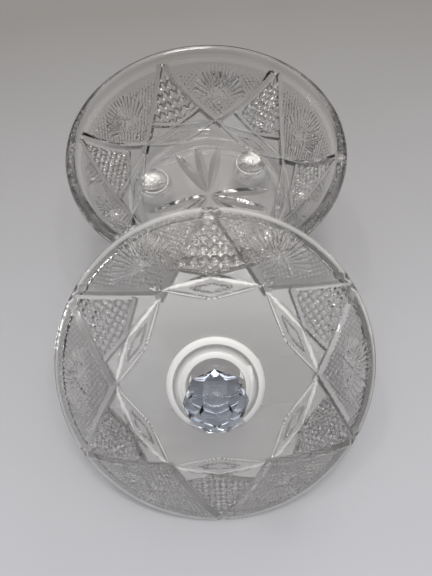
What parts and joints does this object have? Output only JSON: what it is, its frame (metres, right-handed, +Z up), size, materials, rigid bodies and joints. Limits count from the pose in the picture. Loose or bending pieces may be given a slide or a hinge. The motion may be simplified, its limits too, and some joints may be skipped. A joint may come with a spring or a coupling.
{
  "type": "covered glass bowl",
  "caption": "Round cut-glass bowl on ball feet, with a domed star-cut lid and faceted knob; the lid leans against the bowl and swings up to close it.",
  "frame": {"origin": "on the table, at the centre of the footprint of the bowl and the leaning lid", "axes": "+Z up; +Y from the leaning lid towards the bowl; +X to the right as seen from the lid's side"},
  "size_m": [0.152, 0.2516, 0.087],
  "materials": {
    "bowl_glass": "clear glass, cut and polished outside",
    "foot_glass": "clear fire-polished glass, ground flat below",
    "lid_glass": "clear glass, cut and polished outside",
    "knob_glass": "clear glass with polished facets"
  },
  "bodies": {
    "bowl": {"bowl": "bowl_glass", "foot_1": "foot_glass", "foot_2": "foot_glass", "foot_3": "foot_glass"},
    "lid": {"lid": "lid_glass", "lid_knob": "knob_glass"}
  },
  "joints": [
    {"name": "lid_swing", "type": "hinge", "parent": "bowl", "child": "lid", "pos_m": [0, 0.05275, -0.15569], "axis": [1, 0, 0], "range_deg": [-30, 0]}
  ]
}
